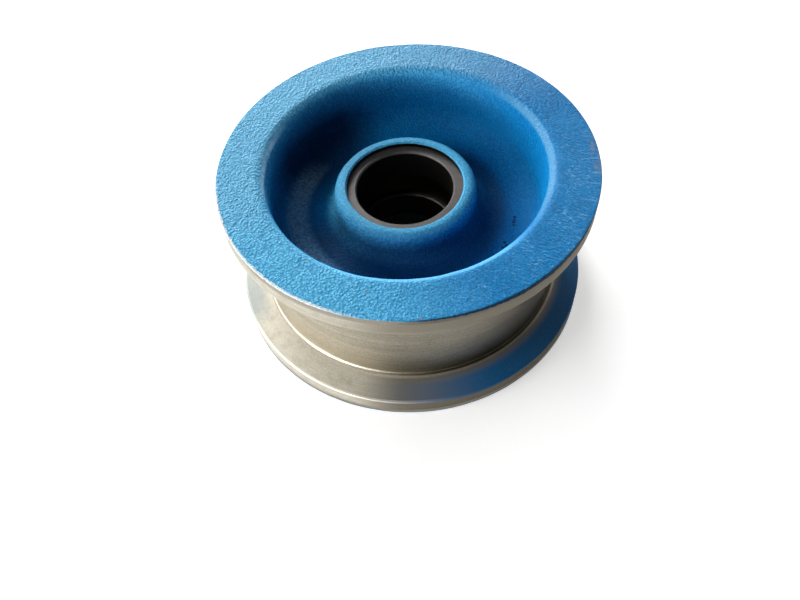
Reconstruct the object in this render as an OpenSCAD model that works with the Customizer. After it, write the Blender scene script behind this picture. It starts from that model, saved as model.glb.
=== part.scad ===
// Crane travel wheel: one casting with two flanges, a turned tread between
// them and a dished, painted side above and below, with two plain bushes
// pressed into its hub. The wheel lies on a flange face. The origin is the
// centre of that face and +Z is the axle's line. Millimetres and degrees.

/* [Tread and flanges] */
// Diameter of the tread, which runs on the rail
tread_d = 160; // [145:1:180]
// Height of the flanges over the tread
flange_h = 15; // [8:0.5:20]
// Width over the two flange faces
wheel_w = 85; // [75:1:100]
// Thickness of a flange at its rim
flange_rim_t = 10.5; // [8:0.5:13]
// Slope of a flange's inner face, which guides the rail
flange_slope = 15; // [5:1:20]
// Fillet between the tread and a flange
tread_root_r = 1.5; // [1:0.5:5]
// Rounding of a flange's outer edge
rim_outer_r = 0.5; // [0.3:0.1:3]
// Rounding of a flange's inner edge
rim_inner_r = 0.8; // [0.3:0.1:2]

/* [Dished sides] */
// Wall between the tread and the mouth of a dish
rim_wall = 9; // [7:0.5:13]
// Rounding of the dish's lip
dish_lip_r = 5; // [2:0.5:7]
// Lean of the dish's outer wall, for drawing the pattern
dish_draft = 5; // [2:1:10]
// Fillet at the foot of the dish's outer wall
dish_root_r = 12; // [6:0.5:14]
// Thickness of the web between the two dishes
web_t = 20; // [14:1:26]

/* [Hub] */
// Length of the hub between its two end faces
hub_w = 55; // [50:1:65]
// Wall of the hub around a bush, at the end face
hub_wall = 6; // [5:0.5:9]
// Rounding of the hub's outer edge
hub_edge_r = 4.5; // [1:0.5:5]
// Lean of the hub's outside
hub_draft = 8; // [2:1:12]
// Fillet at the foot of the hub
hub_root_r = 10; // [5:0.5:12]

/* [Bore and bushes] */
// Bore of the bushes, which run on the axle
axle_d = 50; // [40:1:54]
// Wall of a bush
bush_wall = 5; // [4:0.5:7]
// Length of a bush
bush_len = 17; // [12:0.5:20]
// Depth of a bush's end below the hub's face
bush_recess = 2.8; // [1:0.1:4]
// Chamfer at both mouths of a bush's bore
bush_chamfer = 0.8; // [0.3:0.1:1.5]
// Lead-in chamfer round a bush's inner end
bush_lead = 0.6; // [0.3:0.1:1.5]
// Chamfer at the mouth of a bush's seat in the hub
seat_chamfer = 0.8; // [0.3:0.1:1.2]
// Clearance between the axle's line of bore and the hub's middle bore
middle_gap = 2.5; // [1:0.25:3.5]

/* [Hidden] */
$fn = 128;

paint_colour = "#2f7fb8";
bush_colour = "#615e5d";

// How far a blend reaches past its corner and its sides, as shares of its radius
corner_reach = 0.25;
arc_reach = 0.002;

// Radii from the axle outwards; a bush and its seat share one, a press fit
axle_r = axle_d / 2;
middle_r = axle_r + middle_gap;
bush_r = axle_r + bush_wall;
hub_r = bush_r + hub_wall;
tread_r = tread_d / 2;
mouth_r = tread_r - rim_wall;
flange_r = tread_r + flange_h;

// Heights from the wheel's middle plane upwards
face_z = wheel_w / 2;
web_z = web_t / 2;
hub_z = hub_w / 2;
bush_top_z = hub_z - bush_recess;
shoulder_z = bush_top_z - bush_len;
flange_root_z = face_z - flange_rim_t - flange_h * tan(flange_slope);

// Corners of the upper half of the wheel's section, as [radius, height],
// in order from the middle of the tread round to the middle of the bore
tread_middle = [tread_r, 0];
tread_root = [tread_r, flange_root_z];
rim_inner = [flange_r, face_z - flange_rim_t];
rim_outer = [flange_r, face_z];
dish_lip = [mouth_r, face_z];
dish_foot = [mouth_r - (face_z - web_z) * tan(dish_draft), web_z];
hub_foot = [hub_r + (hub_z - web_z) * tan(hub_draft), web_z];
hub_outer = [hub_r, hub_z];
hub_inner = [bush_r + seat_chamfer, hub_z];
seat_mouth = [bush_r, hub_z - seat_chamfer];
shoulder = [bush_r, shoulder_z];
middle_edge = [middle_r, shoulder_z];
middle_bore = [middle_r, 0];

// The space between a corner and the arc that touches both its sides. It
// reaches past the corner, and the arc a hair past the sides, so that both
// meet the section cleanly.
module corner_space(before, corner, after, radius) {
    to_before = (before - corner) / norm(before - corner);
    to_after = (after - corner) / norm(after - corner);
    half_angle = acos(to_before * to_after) / 2;
    touch = radius / tan(half_angle);
    inward = (to_before + to_after) / norm(to_before + to_after);
    centre = corner + inward * radius / sin(half_angle);
    past_corner = corner - inward * radius * corner_reach;
    difference() {
        polygon([centre, corner + to_after * touch, past_corner, corner + to_before * touch]);
        translate(centre) circle(radius * (1 + arc_reach));
    }
}

// The outline with its corners sharp
module sharp_section() {
    polygon([
        tread_middle, tread_root, rim_inner, rim_outer, dish_lip, dish_foot, hub_foot,
        hub_outer, hub_inner, seat_mouth, shoulder, middle_edge, middle_bore
    ]);
}

// Fillets, which add metal in the hollow corners
module fillets() {
    corner_space(tread_middle, tread_root, rim_inner, tread_root_r);
    corner_space(dish_lip, dish_foot, hub_foot, dish_root_r);
    corner_space(dish_foot, hub_foot, hub_outer, hub_root_r);
}

// Roundings, which take metal off the outer corners
module roundings() {
    corner_space(tread_root, rim_inner, rim_outer, rim_inner_r);
    corner_space(rim_inner, rim_outer, dish_lip, rim_outer_r);
    corner_space(rim_outer, dish_lip, dish_foot, dish_lip_r);
    corner_space(hub_foot, hub_outer, hub_inner, hub_edge_r);
}

// The upper half of the casting, on the wheel's middle plane
module upper_half() {
    rotate_extrude() difference() {
        union() {
            sharp_section();
            fillets();
        }
        roundings();
    }
}

// A bush on its seat's shoulder in the upper half
module seated_bush() {
    rotate_extrude() polygon([
        [axle_r + bush_chamfer, shoulder_z],
        [bush_r - bush_lead, shoulder_z],
        [bush_r, shoulder_z + bush_lead],
        [bush_r, bush_top_z],
        [axle_r + bush_chamfer, bush_top_z],
        [axle_r, bush_top_z - bush_chamfer],
        [axle_r, shoulder_z + bush_chamfer]
    ]);
}

// The casting: hub, web, rim and both flanges in one
module wheel_body() {
    color(paint_colour) translate([0, 0, face_z]) {
        upper_half();
        mirror([0, 0, 1]) upper_half();
    }
}

// The bush pressed in from above
module upper_bush() {
    color(bush_colour) translate([0, 0, face_z]) seated_bush();
}

// The bush pressed in from below
module lower_bush() {
    color(bush_colour) translate([0, 0, face_z]) mirror([0, 0, 1]) seated_bush();
}

wheel_body();
upper_bush();
lower_bush();
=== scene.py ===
import math
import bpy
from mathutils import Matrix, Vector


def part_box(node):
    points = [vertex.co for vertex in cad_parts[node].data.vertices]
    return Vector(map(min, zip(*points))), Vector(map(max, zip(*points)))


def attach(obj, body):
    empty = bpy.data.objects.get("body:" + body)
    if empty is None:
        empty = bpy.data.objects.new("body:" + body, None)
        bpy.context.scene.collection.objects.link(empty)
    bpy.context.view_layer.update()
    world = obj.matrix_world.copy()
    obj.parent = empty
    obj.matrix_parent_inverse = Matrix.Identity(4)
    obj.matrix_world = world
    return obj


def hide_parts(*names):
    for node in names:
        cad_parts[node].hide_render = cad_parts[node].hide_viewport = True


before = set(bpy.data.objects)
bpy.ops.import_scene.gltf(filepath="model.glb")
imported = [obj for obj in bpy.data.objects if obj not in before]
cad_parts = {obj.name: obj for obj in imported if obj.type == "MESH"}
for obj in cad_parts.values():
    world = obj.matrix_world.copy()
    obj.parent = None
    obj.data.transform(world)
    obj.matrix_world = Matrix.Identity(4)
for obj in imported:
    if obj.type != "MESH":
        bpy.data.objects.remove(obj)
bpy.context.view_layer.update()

from types import SimpleNamespace

import bpy
from mathutils import Matrix, Vector

# The crane travel wheel lies on a flange face, its axle's line along +Z.
# Lengths are metres, written in millimetres times MM. Angles are degrees.
# Left, right, front and far are as the photograph's camera sees the wheel.

MM = 0.001
SEED = 7.0

# Sizes of the wheel, from the frame where it holds them

_, body_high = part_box("wheel_body")
bush_low, bush_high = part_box("upper_bush")
WHEEL_W = body_high.z
MIDDLE_Z = WHEEL_W / 2
FLANGE_R = body_high.x
BUSH_R = bush_high.x
FLANGE_H = 15 * MM
RIM_WALL = 9 * MM
RIM_T = 10.5 * MM
HUB_WALL = 6 * MM
BUSH_WALL = 5 * MM
BUSH_RECESS = 2.8 * MM
MIDDLE_GAP = 2.5 * MM
SEAT_CHAMFER = 0.8 * MM
FLANGE_SLOPE = 15
DISH_DRAFT = 5
HUB_DRAFT = 8
TREAD_ROOT_BLEND = 1.5 * MM
RIM_INNER_BLEND = 0.8 * MM
RIM_OUTER_BLEND = 0.5 * MM
DISH_LIP_BLEND = 5 * MM
DISH_ROOT_BLEND = 12 * MM
HUB_ROOT_BLEND = 10 * MM
HUB_EDGE_BLEND = 4.5 * MM

# Radii, and heights from the middle plane
TREAD_R = FLANGE_R - FLANGE_H
MOUTH_R = TREAD_R - RIM_WALL
HUB_R = BUSH_R + HUB_WALL
AXLE_R = BUSH_R - BUSH_WALL
MIDDLE_R = AXLE_R + MIDDLE_GAP
WEB_TOP = 10 * MM
HUB_END = bush_high.z + BUSH_RECESS - MIDDLE_Z
SHOULDER = bush_low.z - MIDDLE_Z

# Where the lip has become the flat face, and the hub's side the dish
LIP_END_R = MOUTH_R + 6 * MM
HUB_SKIRT_R = HUB_R + 8 * MM

# Where the tread's root begins, from the middle plane
ROOT_BEGIN = 26.6 * MM

# How far down the rim paint can reach
PAINT_BAND = 4.5 * MM

# Mesh of the casting: columns round the axle, pitches along the section, the cast skin's swell, and the
# share of a face's corners past which it counts as painted
COLUMNS = 384
UPPER_PITCH = 1.05 * MM
LOWER_PITCH = 1.7 * MM
TURNED_PITCH = 4 * MM
ARC_STEP = math.radians(15)
ARC_STEPS_LEAST = 3
RELIEF_FADE = 5 * MM
CAST_RELIEF = 0.22 * MM
CAST_SWELL = 9 * MM
WELD_DISTANCE = 0.001 * MM
SHARP_BEND = math.radians(30)
PAINTED_SHARE = 0.6

# Patterns in the enamel; grit and brush lines are drawn coarser and deeper than real, so that they show
PEBBLE = 1.25 * MM
PEBBLE_DEPTH = 0.28 * MM
GRIT = 0.7 * MM
GRIT_DEPTH = 0.28 * MM
CLOUD = 14 * MM
SPECK = 2.6 * MM
SPECK_WANDER = 1.6 * MM
BRUSH_TURN = 25
BRUSH_LINE_LENGTH = 3.5 * MM
BRUSH_LINE_WIDTH = 1.1 * MM
BRUSH_LINE_DEPTH = 0.75 * MM
SCUFF_LENGTH = 2.8 * MM
SCUFF_WIDTH = 1.0 * MM
BRUSH_END_LENGTH = 11 * MM
BRUSH_END_WIDTH = 1.3 * MM

# How deep the pebbles are where they aren't at their plain depth, as a share of it
BRUSHED_PEBBLES = 0.45
DISH_PEBBLES = 1.2
FAR_SIDE_PEBBLES = 3.2
HUB_PEBBLES = 0.45

# The coat's edge: how ragged it is, and how far down the rim it ends, on the left, the right and furthest
COAT_RAGGED = 0.4 * MM
COAT_END_LEFT = 0.4 * MM
COAT_END_RIGHT = 1.1 * MM
COAT_END_FURTHEST = 3.2 * MM
COAT_END_BLUR = 0.05 * MM
RIM_REACH = 3 * MM

# Finish of the surfaces
ENAMEL_IOR = 1.5
ENAMEL_GLOSS = 0.08
HOLLOW_ROUGH = 0.48
CREST_ROUGH = 0.4
# Roughness where the dish is painted in shade
DEEP_DISH_ROUGH = 0.8
TREAD_ROUGH = 0.36
FLANGE_ROUGH = 0.75
RIM_EDGE_ROUGH = 0.5
IRON_GLOSS = 0.15
MIST_METAL = 0.05
BUSH_ROUGH = 0.55
PAPER_ROUGH = 0.9

# Patterns in the bare metals; the tool's rings are drawn coarser than the real feed, so that they show
RING_PITCH = 0.6 * MM
RING_LENGTH_IN_RADII = 0.5
RING_DEPTH = 0.02 * MM
STAIN_PITCH = 5 * MM
IRON_GRAIN = 0.9 * MM
IRON_MOTTLE = 6 * MM
BUSH_CLOUD = 2 * MM

# Marks, each a radius, azimuth, height and reach in millimetres and degrees
RUBBED_SPOTS = ((78.7, -47, 85, 6), (86.8, -50.5, 85, 6.5), (79, -54, 85, 5.5),
                (83, -31, 85, 10), (84, -12, 85, 11), (88, -70, 85, 7))
# A wall of the dish painted in shade
SHADED_WALL = ((69, 138, 58, 44),)
# Patches on the dish's floor, dusty and partly a painted sheen
DUST_AND_SHEEN_SPOTS = ((58, 176, 52.5, 36), (56, -155, 52.5, 30))
# Where the lip is painted with a highlight
LIP_HIGHLIGHT_SPOTS = ((71.5, 174, 83, 30),)
PITS = ((57, -12, 52.7, 1.1), (57.2, -13.8, 52.7, 0.9), (56.9, -15.4, 52.7, 1.2), (57.4, -17.4, 52.7, 1.0),
        (56.5, -30, 52.6, 1.0), (58.3, -31.6, 52.8, 1.3), (57.2, -33.6, 52.7, 0.9))
CHIPS = ((76, -128, 85, 0.8), (80.2, -104, 85, 0.7), (93.9, -87.6, 85, 0.9))
# The lower flange's left end, painted in grey shade
LEFT_END_SHADE_SPOT = ((100, -168, 11, 32),)

# The paper sweep, in metres: its floor, the curve up to its wall, and its wall
SWEEP_INNER_RINGS = (0.05, 0.3)
SWEEP_FLOOR_R = 3.5
SWEEP_CURVE_R = 0.5
SWEEP_WALL_H = 1.5
SWEEP_SIDES = 96
SWEEP_CURVE_STEPS = 12
SWEEP_BELOW_WHEEL = 0.1 * MM

# The paper's glow near the wheel and far from it: where it rises, in metres, and from what to what
NEAR_REACH = (0.1, 0.24)
NEAR_GLOW = (0.5, 0.68)
FAR_REACH = (0.3, 1.6)
FAR_GLOW = (0.0, 0.5)
REFLECTED_SHARE = 0.15

# Soft boxes, as name, azimuth, elevation, width, height and power, all at one distance
LAMP_DISTANCE = 2.4
LAMPS = (
    ("window", 114, 24, 1.4, 0.8, 74),
    ("window_foot", 98, 8, 1.6, 0.4, 24),
    ("back_right", 50, 7, 1.4, 0.4, 26),
    ("left_low", 186, 12, 2.0, 0.8, 34),
    ("front_left", 221, 4, 1.4, 0.3, 48),
    ("left_high", 200, 40, 1.2, 1.0, 22),
    ("above", 125, 72, 1.2, 1.2, 4),
)
SURROUND_LEVEL = 0.04

# The photograph's camera: a pinhole for a picture of 800 by 600
PICTURE_W = 800
PICTURE_H = 600
FOCAL_PX = 753.1
PICTURE_CENTRE = (345, 289)
CAMERA_BACK = 0.2726
CAMERA_HEIGHT = 0.3512
CAMERA_DOWN = 53.37
CAMERA_TURN = 8.21
CAMERA_ROLL = -9.30
CAMERA_NEAR = 0.01
SENSOR_MM = 36


def colour(code):
    """Linear colour from an sRGB hex value such as 2f7fb8."""
    parts = [int(code[i:i + 2], 16) / 255 for i in (0, 2, 4)]
    linear = [p / 12.92 if p <= 0.04045 else ((p + 0.055) / 1.055) ** 2.4 for p in parts]
    return (*linear, 1.0)


def add(tree, kind, feeds=None, out=0, **settings):
    """Adds a node with its settings, sets or links its inputs, and returns one of its outputs.

    Some inputs go by number. Map Range has the value at 0, the range that it runs through at 1 and 2, and
    what that becomes at 3 and 4. Mix has the share at 0, two numbers at 2 and 3, and two colours at 6 and 7.
    """
    node = tree.nodes.new(kind)
    for name, value in settings.items():
        setattr(node, name, value)
    for name, value in (feeds or {}).items():
        if isinstance(value, bpy.types.NodeSocket):
            tree.links.new(value, node.inputs[name])
        else:
            node.inputs[name].default_value = value
    return node.outputs[out] if len(node.outputs) else node


def new_material(name):
    """An empty node material."""
    material = bpy.data.materials.new(name)
    material.use_nodes = True
    material.node_tree.nodes.clear()
    return material, material.node_tree


# Places on the wheel, which the materials share

def wheel_places(tree):
    """Where a point lies on the wheel: place, the same without height, radius, azimuth and height."""
    place = add(tree, "ShaderNodeTexCoord", out="Object")
    axes = add(tree, "ShaderNodeSeparateXYZ", {"Vector": place}).node.outputs
    flat = add(tree, "ShaderNodeVectorMath", {0: place, 1: (1, 1, 0)}, operation="MULTIPLY")
    radius = add(tree, "ShaderNodeVectorMath", {0: flat}, out="Value", operation="LENGTH")
    azimuth = add(tree, "ShaderNodeMath", {0: axes["Y"], 1: axes["X"]}, operation="ARCTAN2")
    return SimpleNamespace(place=place, flat=flat, radius=radius, azimuth=azimuth, height=axes["Z"])


def casting_places(tree):
    """The same on the casting, with whether a point is in the upper half, and how far from the middle."""
    at = wheel_places(tree)
    at.upper = add(tree, "ShaderNodeMath", {0: at.height, 1: MIDDLE_Z}, operation="GREATER_THAN")
    from_middle = add(tree, "ShaderNodeMath", {0: at.height, 1: MIDDLE_Z}, operation="SUBTRACT")
    at.from_middle = add(tree, "ShaderNodeMath", {0: from_middle}, operation="ABSOLUTE")
    return at


def stretch(tree, value, begin, full, fade, end):
    """1 from full to fade, falling smoothly to 0 at begin and at end."""
    rise = add(tree, "ShaderNodeMapRange", {0: value, 1: begin, 2: full}, interpolation_type="SMOOTHSTEP")
    fall = add(tree, "ShaderNodeMapRange", {0: value, 1: end, 2: fade}, interpolation_type="SMOOTHSTEP")
    return add(tree, "ShaderNodeMath", {0: rise, 1: fall}, operation="MULTIPLY")


def arc(tree, azimuth, *degrees):
    """A stretch of the wheel's round, its four limits in degrees."""
    return stretch(tree, azimuth, *[math.radians(limit) for limit in degrees])


def band(tree, value, *millimetres):
    """A stretch of radius or height, its four limits in millimetres."""
    return stretch(tree, value, *[limit * MM for limit in millimetres])


def spots(tree, place, marks):
    """1 inside the marks, each a radius, azimuth, height and reach in millimetres and degrees."""
    shares = None
    for radius, azimuth, height, reach in marks:
        turn = math.radians(azimuth)
        centre = (radius * math.cos(turn) * MM, radius * math.sin(turn) * MM, height * MM)
        apart = add(tree, "ShaderNodeVectorMath", {0: place, 1: centre}, out="Value", operation="DISTANCE")
        share = add(tree, "ShaderNodeMapRange", {0: apart, 1: reach * MM, 2: 0.5 * reach * MM})
        if shares:
            share = add(tree, "ShaderNodeMath", {0: shares, 1: share}, operation="MAXIMUM")
        shares = share
    return shares


def product(tree, first, *others):
    """The shares multiplied together."""
    for other in others:
        first = add(tree, "ShaderNodeMath", {0: first, 1: other}, operation="MULTIPLY")
    return first


def laid_over(tree, tone, layers):
    """The tone under its layers, each a share of the surface, a strength and a colour."""
    for share, strength, code in layers:
        tone = add(tree, "ShaderNodeMix",
                   {0: product(tree, share, strength), 6: tone, 7: colour(code)}, out=2, data_type="RGBA")
    return tone


# Enamel

def enamel_places(tree):
    """The casting's places, with the stretches and patterns that the enamel's layers share."""
    at = casting_places(tree)
    at.below_face = add(tree, "ShaderNodeMath", {0: MIDDLE_Z, 1: at.from_middle}, operation="SUBTRACT")
    at.inside = add(tree, "ShaderNodeMath", {0: at.radius, 1: LIP_END_R}, operation="LESS_THAN")
    at.upper_face = product(tree, at.upper,
                            add(tree, "ShaderNodeMapRange", {0: at.radius, 1: MOUTH_R, 2: LIP_END_R}))
    at.right_side = arc(tree, at.azimuth, -60, -30, 30, 60)

    # The far side of the flange, in two arcs because the azimuth jumps from 180 to -180 on it
    far_side = add(tree, "ShaderNodeMath", {0: arc(tree, at.azimuth, 20, 80, 181, 190),
                                            1: arc(tree, at.azimuth, -190, -181, -165, -140)},
                   operation="MAXIMUM")
    at.far_side = product(tree, far_side, at.upper_face)

    # The stretch that the brush was dragged over last, and the way that it went
    at.brushed = product(tree, arc(tree, at.azimuth, -110, -70, 0, 45), at.upper_face)
    at.brush_way = add(tree, "ShaderNodeVectorRotate",
                       {"Vector": at.place, "Angle": math.radians(BRUSH_TURN)}, rotation_type="Z_AXIS")

    # Painted shade: the stretch of deeper colour, on one side of the flange and in the dish
    fresh = product(tree, arc(tree, at.azimuth, -115, -60, 25, 122),
                    add(tree, "ShaderNodeMapRange", {0: at.radius, 1: HUB_R, 2: HUB_SKIRT_R}))
    in_dish = stretch(tree, at.radius, HUB_R + 2 * MM, HUB_SKIRT_R, MOUTH_R - 2 * MM, MOUTH_R + 2 * MM)
    at.fresh = add(tree, "ShaderNodeMath", {0: fresh, 1: in_dish}, operation="MAXIMUM")

    # Pebbles and grit of the sand skin, clouds, specks, and a place that strays with the specks
    pebbles = add(tree, "ShaderNodeTexVoronoi", {"Vector": at.place, "Scale": 1 / PEBBLE}, feature="F1")
    at.pebbles = add(tree, "ShaderNodeMapRange", {0: pebbles, 1: 0.0, 2: 0.9, 3: 1.0, 4: 0.0},
                     interpolation_type="SMOOTHSTEP")
    at.grit = add(tree, "ShaderNodeTexNoise",
                  {"Vector": at.place, "Scale": 1 / GRIT, "Detail": 2.0, "Roughness": 0.6})
    at.cloud = add(tree, "ShaderNodeTexNoise", {"Vector": at.place, "Scale": 1 / CLOUD, "Detail": 3.0})
    at.specks = add(tree, "ShaderNodeTexNoise",
                    {"Vector": at.place, "Scale": 1 / SPECK, "Detail": 3.0, "Roughness": 0.6})
    wander = add(tree, "ShaderNodeVectorMath",
                 {0: at.specks.node.outputs["Color"], 1: (0.5, 0.5, 0.5)}, operation="SUBTRACT")
    wander = add(tree, "ShaderNodeVectorMath", {0: wander, "Scale": SPECK_WANDER}, operation="SCALE")
    at.strayed = add(tree, "ShaderNodeVectorMath", {0: at.place, 1: wander}, operation="ADD")

    # Painted shade low in the dish, on its front; the paint is rougher there too
    lower = add(tree, "ShaderNodeMapRange", {0: at.right_side, 3: 0.0, 4: 6 * MM})
    grime = add(tree, "ShaderNodeMath", {0: at.below_face, 1: lower}, operation="SUBTRACT")
    grime = add(tree, "ShaderNodeMapRange", {0: grime, 1: 16.5 * MM, 2: 26 * MM})
    at.grime = product(tree, grime, at.inside, arc(tree, at.azimuth, -140, -110, -25, 15))
    return at


def skin_relief(tree, at):
    """The skin's height: pebbles and grit, strongest on the far side, and lines where it was brushed."""
    depth = add(tree, "ShaderNodeMapRange",
                {0: at.brushed, 3: PEBBLE_DEPTH, 4: BRUSHED_PEBBLES * PEBBLE_DEPTH})
    deeper = add(tree, "ShaderNodeMapRange",
                 {0: at.radius, 1: MOUTH_R + DISH_LIP_BLEND, 2: MOUTH_R, 3: 1.0, 4: DISH_PEBBLES})
    stronger = add(tree, "ShaderNodeMapRange", {0: at.far_side, 3: 1.0, 4: FAR_SIDE_PEBBLES})
    calm_hub = add(tree, "ShaderNodeMapRange",
                   {0: at.radius, 1: HUB_R + 2 * MM, 2: HUB_SKIRT_R, 3: HUB_PEBBLES, 4: 1.0})
    relief = product(tree, at.pebbles, depth, deeper, stronger, calm_hub)
    relief = add(tree, "ShaderNodeMath",
                 {0: relief, 1: product(tree, at.grit, stronger, GRIT_DEPTH)}, operation="ADD")
    drawn = add(tree, "ShaderNodeVectorMath",
                {0: at.brush_way, 1: (1 / BRUSH_LINE_LENGTH, 1 / BRUSH_LINE_WIDTH, 0)}, operation="MULTIPLY")
    lines = add(tree, "ShaderNodeTexNoise", {"Vector": drawn, "Scale": 1.0, "Detail": 3.0, "Roughness": 0.65})
    return add(tree, "ShaderNodeMath",
               {0: relief, 1: product(tree, lines, at.brushed, BRUSH_LINE_DEPTH)}, operation="ADD")


def coat_tone(tree, at):
    """The coat's colour, clouded in its thickness: pale where lit, painted deeper as shade on one stretch and
    in the dish.
    """
    thickness = add(tree, "ShaderNodeMapRange", {0: at.grit, 1: 0.38, 2: 0.62})
    thickness = add(tree, "ShaderNodeMix", {0: 0.45, 2: thickness, 3: at.cloud}, data_type="FLOAT")
    shaded_blue = add(tree, "ShaderNodeMix",
               {0: thickness, 6: colour("015e97"), 7: colour("0c8acc")}, out=2, data_type="RGBA")
    lit_blue = add(tree, "ShaderNodeMix",
                 {0: thickness, 6: colour("349bcc"), 7: colour("64c5ef")}, out=2, data_type="RGBA")
    return add(tree, "ShaderNodeMix", {0: at.fresh, 6: lit_blue, 7: shaded_blue}, out=2, data_type="RGBA")


def skin_layers(tree, at):
    """Painted shade between the pebbles, painted highlights on their tops, and painted light on the far side
    and hub end.
    """
    hollow_shade = add(tree, "ShaderNodeMapRange", {0: at.pebbles, 1: 0.7, 2: 0.2})
    hollow_shade = product(tree, hollow_shade, add(tree, "ShaderNodeMapRange", {0: at.brushed, 3: 1.0, 4: 0.4}))
    crest_highlights = product(tree, add(tree, "ShaderNodeMapRange", {0: at.pebbles, 1: 0.7, 2: 0.95}),
                     add(tree, "ShaderNodeMapRange", {0: at.fresh, 3: 1.0, 4: 0.0}))
    lit_hub_top = product(tree, add(tree, "ShaderNodeMath", {0: at.radius, 1: HUB_R}, operation="LESS_THAN"),
                      add(tree, "ShaderNodeMath", {0: at.below_face, 1: 17 * MM}, operation="LESS_THAN"))
    # Painted shade between the pebbles, painted highlights on their tops, and painted light on the far side
    # and the hub's top
    return ((hollow_shade, 0.33, "044678"), (crest_highlights, 0.2, "a0d8f2"),
            (at.far_side, 0.2, "8cd0f6"), (lit_hub_top, 0.3, "5ab8e6"))


def painted_shade_layers(tree, at):
    """Painted shade low in the dish and on the far wall, and a painted shadow round the hub's foot."""
    hub_foot_shadow = product(tree, add(tree, "ShaderNodeMapRange", {0: at.below_face, 1: 18 * MM, 2: 25 * MM}),
                       band(tree, at.radius, 34, 36, 48, 58), arc(tree, at.azimuth, -178, -150, 30, 90))
    far_wall_shade = product(tree, spots(tree, at.place, SHADED_WALL), at.inside,
                       add(tree, "ShaderNodeMapRange", {0: at.below_face, 1: 5 * MM, 2: 20 * MM}))
    return (at.grime, 0.5, "05427a"), (hub_foot_shadow, 0.65, "021a40"), (far_wall_shade, 0.85, "03264e")


def pale_scuffs(tree, at):
    """Scuffs on the brushed stretch, gathered in groups, and brush ends at the rim, which run outwards."""
    short = add(tree, "ShaderNodeVectorMath",
                {0: at.brush_way, 1: (1 / SCUFF_LENGTH, 1 / SCUFF_WIDTH, 0)}, operation="MULTIPLY")
    scuffs = add(tree, "ShaderNodeTexNoise",
                 {"Vector": short, "Scale": 1.0, "Detail": 3.0, "Roughness": 0.65})
    groups = add(tree, "ShaderNodeMapRange", {0: at.cloud, 1: 0.4, 2: 0.6, 3: 0.0, 4: 0.6})
    groups = add(tree, "ShaderNodeMath", {0: groups, 1: spots(tree, at.strayed, RUBBED_SPOTS)},
                 operation="MAXIMUM")
    sparse = add(tree, "ShaderNodeMapRange", {0: groups, 3: 0.635, 4: 0.535})
    scuffs = add(tree, "ShaderNodeMath", {0: scuffs, 1: sparse}, operation="SUBTRACT")
    scuffs = add(tree, "ShaderNodeMapRange", {0: scuffs, 1: 0.0, 2: 0.08})
    scuffs = product(tree, scuffs, arc(tree, at.azimuth, -95, -80, 0, 15), at.upper_face)
    round_way = add(tree, "ShaderNodeMath",
                    {0: at.azimuth, 1: FLANGE_R / BRUSH_END_WIDTH}, operation="MULTIPLY")
    out_way = add(tree, "ShaderNodeMath", {0: at.radius, 1: 1 / BRUSH_END_LENGTH}, operation="MULTIPLY")
    fan = add(tree, "ShaderNodeCombineXYZ", {"X": round_way, "Y": out_way})
    ends = add(tree, "ShaderNodeTexNoise", {"Vector": fan, "Scale": 1.0, "Detail": 2.0})
    ends = add(tree, "ShaderNodeMapRange", {0: ends, 1: 0.56, 2: 0.7})
    ends = product(tree, ends, arc(tree, at.azimuth, -48, -32, 8, 20), at.upper,
                   band(tree, at.radius, 83, 88, 94, 95.5))
    return add(tree, "ShaderNodeMath", {0: scuffs, 1: ends}, operation="MAXIMUM")


def wear_layers(tree, at):
    """Scuffs, dusty patches with a painted sheen on the dish's floor, painted highlights on the lip, and
    painted light on one wall.
    """
    # Dusty patches on the dish's floor, partly a painted sheen
    dust_and_sheen = product(tree, spots(tree, at.strayed, DUST_AND_SHEEN_SPOTS),
                   add(tree, "ShaderNodeMapRange", {0: at.pebbles, 3: 0.35, 4: 1.0}),
                   band(tree, at.radius, 50, 55, 60, 66))
    # Painted highlights on the lip, on its left, front and right
    lip_highlight_left = product(tree, spots(tree, at.strayed, LIP_HIGHLIGHT_SPOTS), at.specks,
                        band(tree, at.radius, 70.6, 71, 71.6, 73))
    lip_highlight_front = product(tree, arc(tree, at.azimuth, -135, -110, -60, -35), at.upper,
                         band(tree, at.radius, 70.6, 71.4, 73.4, 75))
    lip_highlight_right = product(tree, arc(tree, at.azimuth, -45, -15, 25, 55), at.upper,
                         band(tree, at.radius, 70.6, 71.2, 73, 74.5))
    # Painted light on the dish's right wall, growing towards the lip
    lit_wall = product(tree, at.right_side, band(tree, at.radius, 56, 66, 69, 71),
                         add(tree, "ShaderNodeMapRange", {0: at.below_face, 1: 30 * MM, 2: 8 * MM}))
    return ((pale_scuffs(tree, at), 0.38, "7ecaf2"), (dust_and_sheen, 0.9, "86b0cc"), (lip_highlight_left, 1.0, "b4e2fc"),
            (lip_highlight_front, 0.65, "62bef4"), (lip_highlight_right, 0.5, "6498b4"), (lit_wall, 0.4, "129ae2"))


def damage_layers(tree, at):
    """Pits in the dish's floor, rust at the rim, and chips."""
    rust = product(tree, add(tree, "ShaderNodeMapRange", {0: at.specks, 1: 0.42, 2: 0.68}),
                   band(tree, at.radius, 90, 92.5, 95, 97), at.upper, arc(tree, at.azimuth, -12, -6, 2, 9))
    return ((spots(tree, at.place, PITS), 0.85, "06182c"), (rust, 0.4, "9a8467"),
            (spots(tree, at.strayed, CHIPS), 0.6, "958c7c"))


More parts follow.
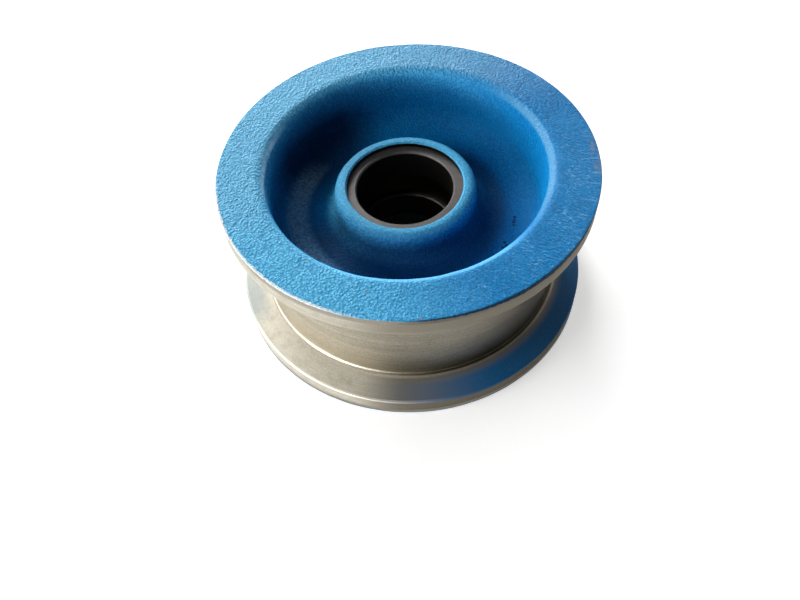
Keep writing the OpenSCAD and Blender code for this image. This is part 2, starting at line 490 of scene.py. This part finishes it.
def coat_edge(tree, at, tone):
    """The tone with the coat's edge at the rim, and the share of iron that is bare below it.

    On the left the edge is worn bare and carries a painted white highlight. On the right the coat runs down
    the rim, painted dark as shade.
    """
    # How far a point lies past the rim's edge: below zero on the face, above it down the rim
    past_edge = add(tree, "ShaderNodeMath", {0: at.radius, 1: FLANGE_R}, operation="SUBTRACT")
    past_edge = add(tree, "ShaderNodeMath", {0: at.below_face, 1: past_edge}, operation="ADD")
    on_rim = add(tree, "ShaderNodeMath", {0: at.radius, 1: FLANGE_R - RIM_REACH}, operation="GREATER_THAN")
    ragged = add(tree, "ShaderNodeMapRange",
                 {0: at.specks, 1: 0.3, 2: 0.7, 3: -COAT_RAGGED, 4: COAT_RAGGED})
    ragged = add(tree, "ShaderNodeMath", {0: past_edge, 1: ragged}, operation="ADD")
    left_edge = product(tree, arc(tree, at.azimuth, -179, -165, -118, -102), at.upper)
    right_edge = product(tree, arc(tree, at.azimuth, -98, -84, -32, -22), at.upper)
    # Painted white highlight on the worn edge on the left; painted shade on the coat that runs down the rim
    # on the right
    rubbed_edge_highlight = product(tree, left_edge, on_rim, band(tree, ragged, -1.4, -0.8, 0.5, 0.9))
    run_down_shade = product(tree, right_edge, on_rim,
                       add(tree, "ShaderNodeMapRange", {0: past_edge, 1: 0.0, 2: 0.3 * MM}))
    tone = laid_over(tree, tone, ((rubbed_edge_highlight, 0.9, "dde4e8"), (run_down_shade, 0.92, "04162a")))

    # Where the coat ends, and the bare iron below
    far_down = product(tree, arc(tree, at.azimuth, -95, -45, -32, -22), at.upper)
    coat_end = add(tree, "ShaderNodeMapRange", {0: right_edge, 3: COAT_END_LEFT, 4: COAT_END_RIGHT})
    coat_end = add(tree, "ShaderNodeMix",
                   {0: far_down, 2: coat_end, 3: COAT_END_FURTHEST}, data_type="FLOAT")
    past_coat = add(tree, "ShaderNodeMath", {0: ragged, 1: coat_end}, operation="SUBTRACT")
    bare = add(tree, "ShaderNodeMapRange", {0: past_coat, 1: -COAT_END_BLUR, 2: COAT_END_BLUR})
    bare = product(tree, bare, on_rim)
    # Bare iron below the coat, painted darker on the right as shade
    iron = add(tree, "ShaderNodeMix",
               {0: right_edge, 6: colour("a59f92"), 7: colour("837d71")}, out=2, data_type="RGBA")
    return add(tree, "ShaderNodeMix", {0: bare, 6: tone, 7: iron}, out=2, data_type="RGBA"), bare


def blue_enamel():
    """Blue machine enamel brushed over a sand casting.

    The eye gets pebbles of the sand skin under a half-dull coat, painted shade and highlights, a stretch
    painted deeper blue as shade with brush drag and pale scuffs, brush ends at the rim, and bare iron below
    the coat's ragged edge.
    """
    material, tree = new_material("blue_enamel_on_sand_cast_iron")
    at = enamel_places(tree)
    layers = skin_layers(tree, at) + painted_shade_layers(tree, at) + wear_layers(tree, at) + damage_layers(tree, at)
    tone = laid_over(tree, coat_tone(tree, at), layers)
    tone, bare = coat_edge(tree, at, tone)
    rough = add(tree, "ShaderNodeMapRange",
                {0: at.pebbles, 1: 0.3, 2: 0.7, 3: HOLLOW_ROUGH, 4: CREST_ROUGH})
    # The paint is rougher where the dish is painted in shade
    rough = add(tree, "ShaderNodeMix", {0: at.grime, 2: rough, 3: DEEP_DISH_ROUGH}, data_type="FLOAT")
    coated = add(tree, "ShaderNodeMath", {0: 1.0, 1: bare}, operation="SUBTRACT")
    bump = add(tree, "ShaderNodeBump", {"Strength": coated, "Distance": 1.0, "Height": skin_relief(tree, at)})
    surface = add(tree, "ShaderNodeBsdfPrincipled",
                  {"Base Color": tone, "Metallic": bare, "Roughness": rough, "IOR": ENAMEL_IOR,
                   "Specular IOR Level": ENAMEL_GLOSS, "Normal": bump})
    add(tree, "ShaderNodeOutputMaterial", {"Surface": surface})
    return material


# Bare metals

def iron_places(tree):
    """The casting's places, with the stretches and patterns that the bare iron's layers share."""
    at = casting_places(tree)
    at.on_flange = add(tree, "ShaderNodeMapRange", {0: at.radius, 1: TREAD_R + 1 * MM, 2: TREAD_R + 3 * MM})
    at.on_tread = add(tree, "ShaderNodeMath", {0: at.radius, 1: TREAD_R + 0.2 * MM}, operation="LESS_THAN")
    at.in_bore = add(tree, "ShaderNodeMath", {0: at.radius, 1: HUB_R}, operation="LESS_THAN")
    at.at_root = product(
        tree, add(tree, "ShaderNodeMath", {0: at.from_middle, 1: ROOT_BEGIN}, operation="GREATER_THAN"),
        add(tree, "ShaderNodeMapRange", {0: at.radius, 1: TREAD_R + 2 * MM, 2: TREAD_R + 1 * MM}))
    at.grain = add(tree, "ShaderNodeTexNoise",
                   {"Vector": at.place, "Scale": 1 / IRON_GRAIN, "Detail": 2.0, "Roughness": 0.6})

    # A place for the tool's rings, in which they are long round the axle and fine across
    heading = add(tree, "ShaderNodeVectorMath", {0: at.flat}, operation="NORMALIZE")
    heading = add(tree, "ShaderNodeVectorMath", {0: heading, "Scale": 1 / RING_LENGTH_IN_RADII},
                  operation="SCALE")
    across = add(tree, "ShaderNodeMath", {0: at.radius, 1: 1 / RING_PITCH}, operation="MULTIPLY")
    across = add(tree, "ShaderNodeCombineXYZ", {"Z": across})
    at.ring_place = add(tree, "ShaderNodeVectorMath", {0: heading, 1: across}, operation="ADD")
    at.ring_level = add(tree, "ShaderNodeMath", {0: at.height, 1: 1 / RING_PITCH}, operation="MULTIPLY")
    return at


def oil_stain_and_shade(tree, at):
    """Old oil's brown film in faint rings and mottles; painted shade in that brown on the right, by the
    roots, in the bore.
    """
    rings = add(tree, "ShaderNodeTexNoise",
                {"Vector": at.ring_place, "W": at.ring_level, "Scale": RING_PITCH / STAIN_PITCH,
                 "Detail": 3.0}, noise_dimensions="4D")
    rings = add(tree, "ShaderNodeMapRange", {0: rings, 1: 0.4, 2: 0.7, 3: 0.0, 4: 0.4})
    stain_and_shade = product(tree, rings, add(tree, "ShaderNodeMapRange", {0: at.on_flange, 3: 1.0, 4: 0.15}))
    mottle = add(tree, "ShaderNodeTexNoise",
                 {"Vector": at.place, "Scale": 1 / IRON_MOTTLE, "Detail": 4.0, "Roughness": 0.65})
    mottle = add(tree, "ShaderNodeMapRange", {0: mottle, 1: 0.45, 2: 0.7, 3: 0.0, 4: 0.25})
    # Painted shade in the film's brown: on the tread, root and flange on the right, and on the tread beside
    # the roots
    near_tread = add(tree, "ShaderNodeMapRange",
                     {0: at.radius, 1: TREAD_R + 1.5 * MM, 2: TREAD_R + 4 * MM, 3: 0.64, 4: 0.0})
    tread_shade = product(tree, arc(tree, at.azimuth, -95, -35, 60, 100), near_tread)
    root_shade = product(tree, arc(tree, at.azimuth, -112, -80, 60, 100), at.at_root, 0.95)
    flange_shade = product(tree, arc(tree, at.azimuth, -112, -92, 60, 100), at.on_flange,
                          add(tree, "ShaderNodeMapRange", {0: at.upper, 3: 0.88, 4: 0.55}))
    end = ROOT_BEGIN + 0.2 * MM
    shade_by_root = product(tree, add(tree, "ShaderNodeMapRange", {0: at.from_middle, 1: 16 * MM, 2: end}),
                      add(tree, "ShaderNodeMath", {0: at.from_middle, 1: end}, operation="LESS_THAN"),
                      at.on_tread, 0.6)
    for share in (at.in_bore, tread_shade, root_shade, flange_shade, shade_by_root, mottle):
        stain_and_shade = add(tree, "ShaderNodeMath", {0: stain_and_shade, 1: share}, operation="MAXIMUM")
    return stain_and_shade


def shaded_roots(tree, at):
    """Painted shade in the corners between tread and flanges, and on the tread beside them."""
    beside = add(tree, "ShaderNodeMapRange", {0: at.from_middle, 1: 17 * MM, 2: ROOT_BEGIN - 0.1 * MM})
    beside = product(tree, beside, at.on_tread)
    root_corner_shade = add(tree, "ShaderNodeMath", {0: at.at_root, 1: beside}, operation="MAXIMUM")
    return product(tree, arc(tree, at.azimuth, -104, -60, 60, 100), root_corner_shade)


def overspray(tree, at):
    """Blue mist on the lower flange's inner face, on one side, and painted grey shade at the flange's left
    end.
    """
    outer = add(tree, "ShaderNodeMapRange",
                {0: at.radius, 1: TREAD_R + 1.5 * MM, 2: TREAD_R + 7.5 * MM}, interpolation_type="SMOOTHSTEP")
    low = stretch(tree, at.height, 8.8 * MM, 9.8 * MM, MIDDLE_Z - 2 * MM, MIDDLE_Z - 1 * MM)
    mist = product(tree, arc(tree, at.azimuth, -110, -62, 80, 120), outer, low,
                   add(tree, "ShaderNodeMapRange", {0: at.grain, 1: 0.35, 2: 0.6, 3: 0.9, 4: 1.0}))
    # The mist, and painted grey shade at the lower flange's left end
    return mist, product(tree, spots(tree, at.place, LEFT_END_SHADE_SPOT), outer, low)


def turned_iron():
    """Cast iron turned bare on a lathe.

    The eye gets a dull warm grey with fine rings and grain, a brown film with painted shade on one side,
    painted highlights on the rims' edges, a bore painted nearly black as shade, and a mist of blue overspray
    on one flange.
    """
    material, tree = new_material("turned_cast_iron")
    at = iron_places(tree)
    rings = add(tree, "ShaderNodeTexNoise",
                {"Vector": at.ring_place, "W": at.ring_level, "Scale": 1.0, "Detail": 3.0, "Roughness": 0.6},
                noise_dimensions="4D")
    turned = add(tree, "ShaderNodeMix", {0: 0.5, 2: rings, 3: at.grain}, data_type="FLOAT")
    tone = add(tree, "ShaderNodeMapRange", {0: turned, 1: 0.36, 2: 0.64})
    tone = add(tree, "ShaderNodeMix",
               {0: tone, 6: colour("a8a190"), 7: colour("d3ccbc")}, out=2, data_type="RGBA")
    upper_rim = add(tree, "ShaderNodeMath", {0: at.radius, 1: FLANGE_R - 0.3 * MM}, operation="GREATER_THAN")
    upper_rim = product(tree, upper_rim, at.upper)
    rim_edge_highlight = product(
        tree, band(tree, at.from_middle, 31.3, 31.8, 32.4, 32.9),
        add(tree, "ShaderNodeMath", {0: at.radius, 1: FLANGE_R - 1.2 * MM}, operation="GREATER_THAN"),
        arc(tree, at.azimuth, -185, -181, -105, -70))
    mist, left_end_shade = overspray(tree, at)
    # Painted shade in the bore and at the roots, and painted highlights on the rims' edges
    tone = laid_over(tree, tone, (
        (at.on_flange, 0.55, "c4c1b6"), (upper_rim, 0.25, "8f8b82"), (oil_stain_and_shade(tree, at), 0.8, "54482f"),
        (at.in_bore, 0.85, "15120e"), (shaded_roots(tree, at), 0.85, "1a1713"), (rim_edge_highlight, 0.62, "e6e2d8"),
        (left_end_shade, 0.6, "8c989b"), (mist, 1.0, "085688")))
    metal = add(tree, "ShaderNodeMapRange", {0: mist, 3: 1.0, 4: MIST_METAL})
    rough = add(tree, "ShaderNodeMapRange",
                {0: at.radius, 1: TREAD_R + 0.5 * MM, 2: TREAD_R + 3 * MM, 3: TREAD_ROUGH, 4: FLANGE_ROUGH})
    rough = add(tree, "ShaderNodeMix", {0: rim_edge_highlight, 2: rough, 3: RIM_EDGE_ROUGH}, data_type="FLOAT")
    bump = add(tree, "ShaderNodeBump", {"Strength": 1.0, "Distance": RING_DEPTH, "Height": turned})
    surface = add(tree, "ShaderNodeBsdfPrincipled",
                  {"Base Color": tone, "Metallic": metal, "Roughness": rough,
                   "Specular IOR Level": IRON_GLOSS, "Normal": bump})
    add(tree, "ShaderNodeOutputMaterial", {"Surface": surface})
    return material


def bush_steel():
    """Turned bush steel: a dull, clouded grey-brown on the ends, nearly black in the bore as oil and painted
    shade.
    """
    material, tree = new_material("turned_oiled_bush_steel")
    at = wheel_places(tree)
    cloud = add(tree, "ShaderNodeTexNoise", {"Vector": at.place, "Scale": 1 / BUSH_CLOUD, "Detail": 3.0})
    tone = add(tree, "ShaderNodeMix",
               {0: cloud, 6: colour("585654"), 7: colour("706d6b")}, out=2, data_type="RGBA")
    # Nearly black in the bore: oil, and painted shade
    oiled_and_shaded = add(tree, "ShaderNodeMath", {0: at.radius, 1: AXLE_R + 0.1 * MM}, operation="LESS_THAN")
    tone = laid_over(tree, tone, ((oiled_and_shaded, 0.8, "1c1a19"),))
    surface = add(tree, "ShaderNodeBsdfPrincipled",
                  {"Base Color": tone, "Metallic": 1.0, "Roughness": BUSH_ROUGH})
    add(tree, "ShaderNodeOutputMaterial", {"Surface": surface})
    return material


# The casting

def corner_arc(before, corner, after, radius):
    """Where the arc that blends a corner starts, its centre, and the angle it turns through."""
    to_before = (before - corner).normalized()
    to_after = (after - corner).normalized()
    half_angle = to_before.angle(to_after) / 2
    start = corner + to_before * radius / math.tan(half_angle)
    centre = corner + (to_before + to_after).normalized() * radius / math.sin(half_angle)
    turn = math.pi - 2 * half_angle
    if to_before.x * to_after.y - to_before.y * to_after.x > 0:
        turn = -turn
    return start, centre, turn


def section_corners():
    """Corners of the section's upper half: place, blend radius, and whether what follows is painted."""
    rim_inner_z = MIDDLE_Z - RIM_T
    tread_root_z = rim_inner_z - (FLANGE_R - TREAD_R) * math.tan(math.radians(FLANGE_SLOPE))
    dish_foot_r = MOUTH_R - (MIDDLE_Z - WEB_TOP) * math.tan(math.radians(DISH_DRAFT))
    hub_foot_r = HUB_R + (HUB_END - WEB_TOP) * math.tan(math.radians(HUB_DRAFT))
    return [
        (Vector((TREAD_R, 0)), 0, False),
        (Vector((TREAD_R, tread_root_z)), TREAD_ROOT_BLEND, False),
        (Vector((FLANGE_R, rim_inner_z)), RIM_INNER_BLEND, False),
        (Vector((FLANGE_R, MIDDLE_Z - PAINT_BAND)), 0, True),
        (Vector((FLANGE_R, MIDDLE_Z)), RIM_OUTER_BLEND, True),
        (Vector((MOUTH_R, MIDDLE_Z)), DISH_LIP_BLEND, True),
        (Vector((dish_foot_r, WEB_TOP)), DISH_ROOT_BLEND, True),
        (Vector((hub_foot_r, WEB_TOP)), HUB_ROOT_BLEND, True),
        (Vector((HUB_R, HUB_END)), HUB_EDGE_BLEND, True),
        (Vector((BUSH_R + SEAT_CHAMFER, HUB_END)), 0, True),
        (Vector((BUSH_R, HUB_END - SEAT_CHAMFER)), 0, False),
        (Vector((BUSH_R, SHOULDER)), 0, False),
        (Vector((MIDDLE_R, SHOULDER)), 0, False),
        (Vector((MIDDLE_R, 0)), 0, False),
    ]


def half_section(pitch):
    """Points of the upper half of the section as (radius, height, painted, relief), tread to bore."""
    corners = section_corners()
    rows = [(corners[0][0], False)]
    for i in range(1, len(corners)):
        corner, radius, painted_after = corners[i]
        painted_before = corners[i - 1][2]
        spacing = pitch if painted_before else TURNED_PITCH
        blend = []
        end = corner
        if radius:
            end, centre, turn = corner_arc(corners[i - 1][0], corner, corners[i + 1][0], radius)
            arc_step = min(ARC_STEP, pitch / radius) if painted_after else ARC_STEP
            count = max(ARC_STEPS_LEAST, math.ceil(abs(turn) / arc_step))
            spoke = end - centre
            blend = [centre + Matrix.Rotation(turn * step / count, 2) @ spoke for step in range(1, count + 1)]
        begin = rows[-1][0]
        count = max(1, math.ceil((end - begin).length / spacing))
        rows += [(begin.lerp(end, step / count), painted_before) for step in range(1, count + 1)]
        rows += [(point, painted_after) for point in blend]

    # The cast relief fades out towards both ends of the painted stretch
    along = [0.0]
    for (before, _), (after, _) in zip(rows, rows[1:]):
        along.append(along[-1] + (after - before).length)
    painted_along = [distance for distance, (_, painted) in zip(along, rows) if painted]
    first, last = min(painted_along), max(painted_along)
    section = []
    for distance, (point, painted) in zip(along, rows):
        relief = max(0.0, min(1.0, min(distance - first, last - distance) / RELIEF_FADE))
        section.append((point.x, point.y, float(painted), relief))
    return section


def section_mesh():
    """The closed section as a wire in the XZ plane, with each point's finish."""
    upper = half_section(UPPER_PITCH)
    lower = [(radius, -height, painted, relief)
             for radius, height, painted, relief in half_section(LOWER_PITCH)]
    rows = upper + lower[-2:0:-1]
    mesh = bpy.data.meshes.new("wheel_section")
    edges = [(i, (i + 1) % len(rows)) for i in range(len(rows))]
    mesh.from_pydata([(radius, 0.0, height + MIDDLE_Z) for radius, height, _, _ in rows], edges, [])
    for name, column in (("painted", 2), ("relief", 3)):
        finish = mesh.attributes.new(name, "FLOAT", "POINT")
        finish.data.foreach_set("value", [row[column] for row in rows])
    return mesh


def revolve_tree():
    """Geometry Nodes tree that revolves a section, lifts its cast skin and sets its two finishes."""
    tree = bpy.data.node_groups.new("revolved_casting", "GeometryNodeTree")
    tree.interface.new_socket("Geometry", in_out="OUTPUT", socket_type="NodeSocketGeometry")
    for name, kind in (("Section", "Geometry"), ("Columns", "Int"), ("Relief", "Float"),
                       ("Swell Size", "Float"), ("Seed", "Float"),
                       ("Paint", "Material"), ("Bare Metal", "Material")):
        tree.interface.new_socket(name, in_out="INPUT", socket_type="NodeSocket" + kind)
    given = add(tree, "NodeGroupInput").node.outputs

    # A grid with a row for each point of the section, wrapped round the axle and welded at its seams
    rows = add(tree, "GeometryNodeAttributeDomainSize", {"Geometry": given["Section"]}, out="Point Count")
    grid_rows = add(tree, "ShaderNodeMath", {0: rows, 1: 1.0}, operation="ADD")
    grid_columns = add(tree, "ShaderNodeMath", {0: given["Columns"], 1: 1.0}, operation="ADD")
    shape = add(tree, "GeometryNodeMeshGrid", {"Vertices X": grid_columns, "Vertices Y": grid_rows})
    index = add(tree, "GeometryNodeInputIndex")
    row = add(tree, "ShaderNodeMath", {0: index, 1: grid_rows}, operation="MODULO")
    row = add(tree, "ShaderNodeMath", {0: row, 1: rows}, operation="MODULO")
    column = add(tree, "ShaderNodeMath", {0: index, 1: grid_rows}, operation="DIVIDE")
    column = add(tree, "ShaderNodeMath", {0: column}, operation="FLOOR")
    share = add(tree, "ShaderNodeMath", {0: column, 1: given["Columns"]}, operation="DIVIDE")
    angle = add(tree, "ShaderNodeMath", {0: share, 1: math.tau}, operation="MULTIPLY")
    point = add(tree, "GeometryNodeInputPosition")
    point = add(tree, "GeometryNodeSampleIndex",
                {"Geometry": given["Section"], "Value": point, "Index": row}, data_type="FLOAT_VECTOR")
    point = add(tree, "ShaderNodeVectorRotate", {"Vector": point, "Angle": angle}, rotation_type="Z_AXIS")
    for name in ("painted", "relief"):
        value = add(tree, "GeometryNodeInputNamedAttribute", {"Name": name}, data_type="FLOAT")
        value = add(tree, "GeometryNodeSampleIndex",
                    {"Geometry": given["Section"], "Value": value, "Index": row}, data_type="FLOAT")
        shape = add(tree, "GeometryNodeStoreNamedAttribute",
                    {"Geometry": shape, "Name": name, "Value": value}, data_type="FLOAT", domain="POINT")
    shape = add(tree, "GeometryNodeSetPosition", {"Geometry": shape, "Position": point})
    shape = add(tree, "GeometryNodeMergeByDistance", {"Geometry": shape, "Distance": WELD_DISTANCE})

    # The cast skin's swell
    scale = add(tree, "ShaderNodeMath", {0: 1.0, 1: given["Swell Size"]}, operation="DIVIDE")
    swell = add(tree, "ShaderNodeTexNoise",
                {"W": given["Seed"], "Scale": scale, "Detail": 2.0, "Roughness": 0.5},
                noise_dimensions="4D")
    swell = add(tree, "ShaderNodeMapRange", {"Value": swell, 3: -1.0, 4: 1.0}, clamp=False)
    relief = add(tree, "GeometryNodeInputNamedAttribute", {"Name": "relief"}, data_type="FLOAT")
    relief = add(tree, "ShaderNodeMath", {0: relief, 1: given["Relief"]}, operation="MULTIPLY")
    lift = add(tree, "ShaderNodeMath", {0: swell, 1: relief}, operation="MULTIPLY")
    offset = add(tree, "ShaderNodeVectorMath",
                 {0: add(tree, "GeometryNodeInputNormal"), "Scale": lift}, operation="SCALE")
    shape = add(tree, "GeometryNodeSetPosition", {"Geometry": shape, "Offset": offset})

    # Smooth faces with sharp edges, and the two finishes
    bend = add(tree, "GeometryNodeInputMeshEdgeAngle")
    sharp = add(tree, "FunctionNodeCompare", {0: bend, 1: SHARP_BEND}, operation="GREATER_THAN")
    shape = add(tree, "GeometryNodeSetShadeSmooth", {"Geometry": shape, "Shade Smooth": True}, domain="FACE")
    shape = add(tree, "GeometryNodeSetShadeSmooth",
                {"Geometry": shape, "Selection": sharp, "Shade Smooth": False}, domain="EDGE")
    shape = add(tree, "GeometryNodeRealizeInstances", {"Geometry": shape})
    shape = add(tree, "GeometryNodeSetMaterial", {"Geometry": shape, "Material": given["Bare Metal"]})
    painted = add(tree, "GeometryNodeInputNamedAttribute", {"Name": "painted"}, data_type="FLOAT")
    painted = add(tree, "FunctionNodeCompare", {0: painted, 1: PAINTED_SHARE}, operation="GREATER_THAN")
    shape = add(tree, "GeometryNodeSetMaterial",
                {"Geometry": shape, "Selection": painted, "Material": given["Paint"]})
    add(tree, "NodeGroupOutput", {"Geometry": shape})
    return tree


def make_wheel_body(paint, bare_metal):
    """The casting, revolved from its section."""
    piece = bpy.data.objects.new("cast_wheel", section_mesh())
    bpy.context.scene.collection.objects.link(piece)
    tree = revolve_tree()
    modifier = piece.modifiers.new("revolve", "NODES")
    modifier.node_group = tree
    inputs = {"Columns": COLUMNS, "Relief": CAST_RELIEF, "Swell Size": CAST_SWELL, "Seed": SEED,
              "Paint": paint, "Bare Metal": bare_metal}
    for socket in tree.interface.items_tree:
        if socket.in_out == "INPUT" and socket.name in inputs:
            modifier[socket.identifier] = inputs[socket.name]
    shown = piece.evaluated_get(bpy.context.evaluated_depsgraph_get())
    mesh = bpy.data.meshes.new_from_object(shown)
    piece.modifiers.clear()
    piece.data = mesh
    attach(piece, "root")
    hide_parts("wheel_body")


# The studio

def studio_paper():
    """White studio paper: matt, and shown white where no shadow falls.

    Its glow, which lifts it to white, is for the camera and for reflections. It is weaker near the wheel,
    so that the shadow stays, and none lies under the dish.
    """
    material, tree = new_material("white_studio_paper")
    rays = add(tree, "ShaderNodeLightPath").node
    seen = rays.outputs["Is Camera Ray"]
    for name in ("Is Glossy Ray", "Is Transmission Ray"):
        seen = add(tree, "ShaderNodeMath", {0: seen, 1: rays.outputs[name]}, operation="MAXIMUM")
    at = wheel_places(tree)
    near = add(tree, "ShaderNodeMapRange",
               {0: at.radius, 1: NEAR_REACH[0], 2: NEAR_REACH[1], 3: NEAR_GLOW[0], 4: NEAR_GLOW[1]})
    outside = add(tree, "ShaderNodeMath", {0: at.radius, 1: MOUTH_R}, operation="GREATER_THAN")
    near = product(tree, near, outside)
    reflected = product(tree, near, seen, REFLECTED_SHARE)
    near = add(tree, "ShaderNodeMix", {0: rays.outputs["Is Camera Ray"], 2: reflected, 3: near},
               data_type="FLOAT")
    far = add(tree, "ShaderNodeMapRange",
              {0: at.radius, 1: FAR_REACH[0], 2: FAR_REACH[1], 3: FAR_GLOW[0], 4: FAR_GLOW[1]})
    glow = add(tree, "ShaderNodeMath", {0: near, 1: product(tree, seen, far)}, operation="ADD")
    surface = add(tree, "ShaderNodeBsdfPrincipled",
                  {"Base Color": colour("e6e6e6"), "Roughness": PAPER_ROUGH, "Specular IOR Level": 0.0,
                   "Emission Color": (1.0, 1.0, 1.0, 1.0), "Emission Strength": glow})
    add(tree, "ShaderNodeOutputMaterial", {"Surface": surface})
    return material


def make_sweep():
    """A round paper sweep under and about the wheel."""
    profile = [(radius, 0.0) for radius in (*SWEEP_INNER_RINGS, SWEEP_FLOOR_R)]
    for step in range(1, SWEEP_CURVE_STEPS + 1):
        turn = math.pi / 2 * step / SWEEP_CURVE_STEPS
        profile.append((SWEEP_FLOOR_R + SWEEP_CURVE_R * math.sin(turn), SWEEP_CURVE_R * (1 - math.cos(turn))))
    profile.append((SWEEP_FLOOR_R + SWEEP_CURVE_R, SWEEP_WALL_H))
    sides = range(SWEEP_SIDES)
    points = [(0.0, 0.0, -SWEEP_BELOW_WHEEL)]
    for radius, height in profile:
        for side in sides:
            turn = math.tau * side / SWEEP_SIDES
            points.append((radius * math.cos(turn), radius * math.sin(turn), height - SWEEP_BELOW_WHEEL))
    faces = [(0, 1 + side, 1 + (side + 1) % SWEEP_SIDES) for side in sides]
    for ring in range(len(profile) - 1):
        inner = 1 + ring * SWEEP_SIDES
        outer = inner + SWEEP_SIDES
        for side in sides:
            after = (side + 1) % SWEEP_SIDES
            faces.append((inner + side, outer + side, outer + after, inner + after))
    mesh = bpy.data.meshes.new("paper_sweep")
    mesh.from_pydata(points, [], faces)
    mesh.polygons.foreach_set("use_smooth", [True] * len(mesh.polygons))
    mesh.materials.append(studio_paper())
    sweep = bpy.data.objects.new("paper_sweep", mesh)
    bpy.context.scene.collection.objects.link(sweep)


def make_light():
    """A soft window at the back, low soft boxes all round, two higher ones, and a dusky surround."""
    world = bpy.data.worlds.new("dusky_surround")
    world.use_nodes = True
    world.node_tree.nodes.clear()
    sky = add(world.node_tree, "ShaderNodeBackground",
              {"Color": colour("c8d0d8"), "Strength": SURROUND_LEVEL})
    add(world.node_tree, "ShaderNodeOutputWorld", {"Surface": sky})
    bpy.context.scene.world = world
    for name, azimuth, elevation, width, height, power in LAMPS:
        turn = math.radians(azimuth)
        rise = math.radians(elevation)
        toward = Vector((math.cos(turn) * math.cos(rise), math.sin(turn) * math.cos(rise), math.sin(rise)))
        lamp = bpy.data.lights.new(name, "AREA")
        lamp.shape = "RECTANGLE"
        lamp.size = width
        lamp.size_y = height
        lamp.energy = power
        box = bpy.data.objects.new(name, lamp)
        box.location = toward * LAMP_DISTANCE
        box.rotation_euler = toward.to_track_quat("Z", "Y").to_euler()
        box.visible_camera = False
        bpy.context.scene.collection.objects.link(box)


def make_camera():
    """The photograph's camera, its picture centre shifted as the photograph's framing needs."""
    data = bpy.data.cameras.new("photo_camera")
    data.sensor_width = SENSOR_MM
    data.lens = FOCAL_PX / PICTURE_W * SENSOR_MM
    data.shift_x = (PICTURE_W / 2 - PICTURE_CENTRE[0]) / PICTURE_W
    data.shift_y = (PICTURE_CENTRE[1] - PICTURE_H / 2) / PICTURE_W
    data.clip_start = CAMERA_NEAR
    camera = bpy.data.objects.new("photo_camera", data)
    camera.location = (0.0, -CAMERA_BACK, CAMERA_HEIGHT)
    turn = Matrix.Rotation(math.radians(CAMERA_TURN), 3, "Z")
    tilt = Matrix.Rotation(math.radians(90 - CAMERA_DOWN), 3, "X")
    roll = Matrix.Rotation(math.radians(CAMERA_ROLL), 3, "Z")
    camera.rotation_euler = (turn @ tilt @ roll).to_euler()
    bpy.context.scene.collection.objects.link(camera)
    bpy.context.scene.camera = camera


bpy.context.scene.view_settings.view_transform = "Standard"
make_camera()
make_sweep()
make_light()
make_wheel_body(blue_enamel(), turned_iron())
bush_finish = bush_steel()
for node in ("upper_bush", "lower_bush"):
    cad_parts[node].data.materials.clear()
    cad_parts[node].data.materials.append(bush_finish)
